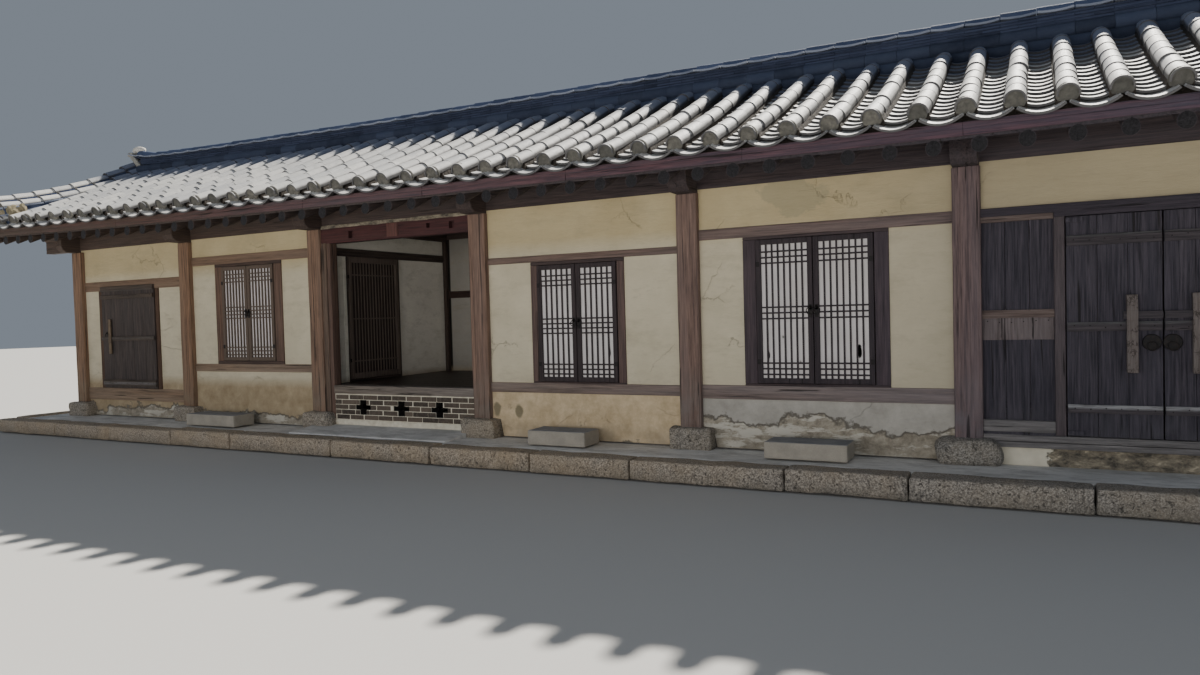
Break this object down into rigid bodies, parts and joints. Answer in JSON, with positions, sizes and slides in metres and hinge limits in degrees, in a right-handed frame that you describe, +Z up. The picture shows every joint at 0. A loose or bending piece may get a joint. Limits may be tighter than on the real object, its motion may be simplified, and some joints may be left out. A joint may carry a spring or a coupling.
{
  "type": "hanok house",
  "caption": "Long one-storey Korean timber house, one bay deep, with plastered walls, lattice doors, an open porch, a plank gate and a gabled tile roof on a low stone plinth.",
  "frame": {"origin": "centre of the overall box in plan, at the level of the ground under the plinth", "axes": "+X along the front wall towards the gate bay, +Y from the yard into the house, +Z up"},
  "size_m": [16.4, 4.504, 4.4589],
  "materials": {
    "plaster": "matte",
    "old_timber": "matte",
    "dark_timber": "matte",
    "red_timber": "matte",
    "granite": "matte",
    "brick": "matte",
    "roof_tile": "satin",
    "floor_paper": "satin",
    "lattice_paper": "matte"
  },
  "bodies": {
    "house": {"plinth": "granite", "step_stone_bay_2": "granite", "step_stone_bay_4": "granite", "step_stone_bay_5": "granite", "front_column_1": "old_timber", "front_column_2": "old_timber", "front_column_3": "old_timber", "front_column_4": "old_timber", "front_column_5": "old_timber", "front_column_6": "old_timber", "front_column_7": "old_timber", "cross_beam_1": "old_timber", "cross_beam_2": "old_timber", "cross_beam_3": "old_timber", "cross_beam_4": "old_timber", "cross_beam_5": "old_timber", "cross_beam_6": "old_timber", "cross_beam_7": "old_timber", "front_purlin": "old_timber", "rear_purlin": "old_timber", "ridge_purlin": "old_timber", "bay_1_frame": "dark_timber", "bay_1_plaster": "plaster", "bay_2_frame": "dark_timber", "bay_2_plaster": "plaster", "bay_4_frame": "dark_timber", "bay_4_plaster": "plaster", "bay_5_frame": "dark_timber", "bay_5_plaster": "plaster", "porch_lintel": "red_timber", "porch_dado": "brick", "porch_floor": "old_timber", "porch_partition_left": "plaster", "porch_partition_right": "plaster", "room_floor_bay_2": "floor_paper", "room_floor_bays_4_5": "floor_paper", "gate_frame": "dark_timber", "gate_upper_plaster": "plaster", "rear_frame": "old_timber", "rear_wall_left": "plaster", "rear_wall_porch": "plaster", "rear_wall_right": "plaster", "left_end_wall": "plaster", "right_end_wall": "plaster", "front_rafters": "old_timber", "rear_rafters": "old_timber", "front_roof_tiles": "roof_tile", "rear_roof_tiles": "roof_tile", "roof_ridges": "roof_tile"},
    "bay_1_door": {"bay_1_door": "dark_timber"},
    "bay_2_left_leaf": {"bay_2_left_leaf": "lattice_paper"},
    "bay_2_right_leaf": {"bay_2_right_leaf": "lattice_paper"},
    "bay_4_left_leaf": {"bay_4_left_leaf": "lattice_paper"},
    "bay_4_right_leaf": {"bay_4_right_leaf": "lattice_paper"},
    "bay_5_left_leaf": {"bay_5_left_leaf": "lattice_paper"},
    "bay_5_right_leaf": {"bay_5_right_leaf": "lattice_paper"},
    "porch_side_door": {"porch_side_door": "dark_timber"},
    "gate_left_leaf": {"gate_left_leaf": "dark_timber"},
    "gate_right_leaf": {"gate_right_leaf": "dark_timber"}
  },
  "joints": [
    {"name": "bay_1_door_hinge", "type": "hinge", "parent": "house", "child": "bay_1_door", "pos_m": [-5.545, -1.2843, 1.34], "axis": [0, 0, 1], "range_deg": [0, 100]},
    {"name": "bay_2_left_hinge", "type": "hinge", "parent": "house", "child": "bay_2_left_leaf", "pos_m": [-4.15, -1.2843, 1.6175], "axis": [0, 0, -1], "range_deg": [0, 100]},
    {"name": "bay_2_right_hinge", "type": "hinge", "parent": "house", "child": "bay_2_right_leaf", "pos_m": [-3.18, -1.2843, 1.6175], "axis": [0, 0, 1], "range_deg": [0, 100]},
    {"name": "bay_4_left_hinge", "type": "hinge", "parent": "house", "child": "bay_4_left_leaf", "pos_m": [0.725, -1.2843, 1.4025], "axis": [0, 0, -1], "range_deg": [0, 100]},
    {"name": "bay_4_right_hinge", "type": "hinge", "parent": "house", "child": "bay_4_right_leaf", "pos_m": [1.655, -1.2843, 1.4025], "axis": [0, 0, 1], "range_deg": [0, 100]},
    {"name": "bay_5_left_hinge", "type": "hinge", "parent": "house", "child": "bay_5_left_leaf", "pos_m": [3.075, -1.2843, 1.4675], "axis": [0, 0, -1], "range_deg": [0, 100]},
    {"name": "bay_5_right_hinge", "type": "hinge", "parent": "house", "child": "bay_5_right_leaf", "pos_m": [4.12, -1.2843, 1.4675], "axis": [0, 0, 1], "range_deg": [0, 100]},
    {"name": "porch_side_door_hinge", "type": "hinge", "parent": "house", "child": "porch_side_door", "pos_m": [-2.3467, -0.832, 1.52], "axis": [0, 0, -1], "range_deg": [0, 100]},
    {"name": "gate_left_hinge", "type": "hinge", "parent": "house", "child": "gate_left_leaf", "pos_m": [5.545, -1.2843, 1.289], "axis": [0, 0, -1], "range_deg": [0, 100]},
    {"name": "gate_right_hinge", "type": "hinge", "parent": "house", "child": "gate_right_leaf", "pos_m": [6.815, -1.2843, 1.289], "axis": [0, 0, 1], "range_deg": [0, 100]}
  ]
}
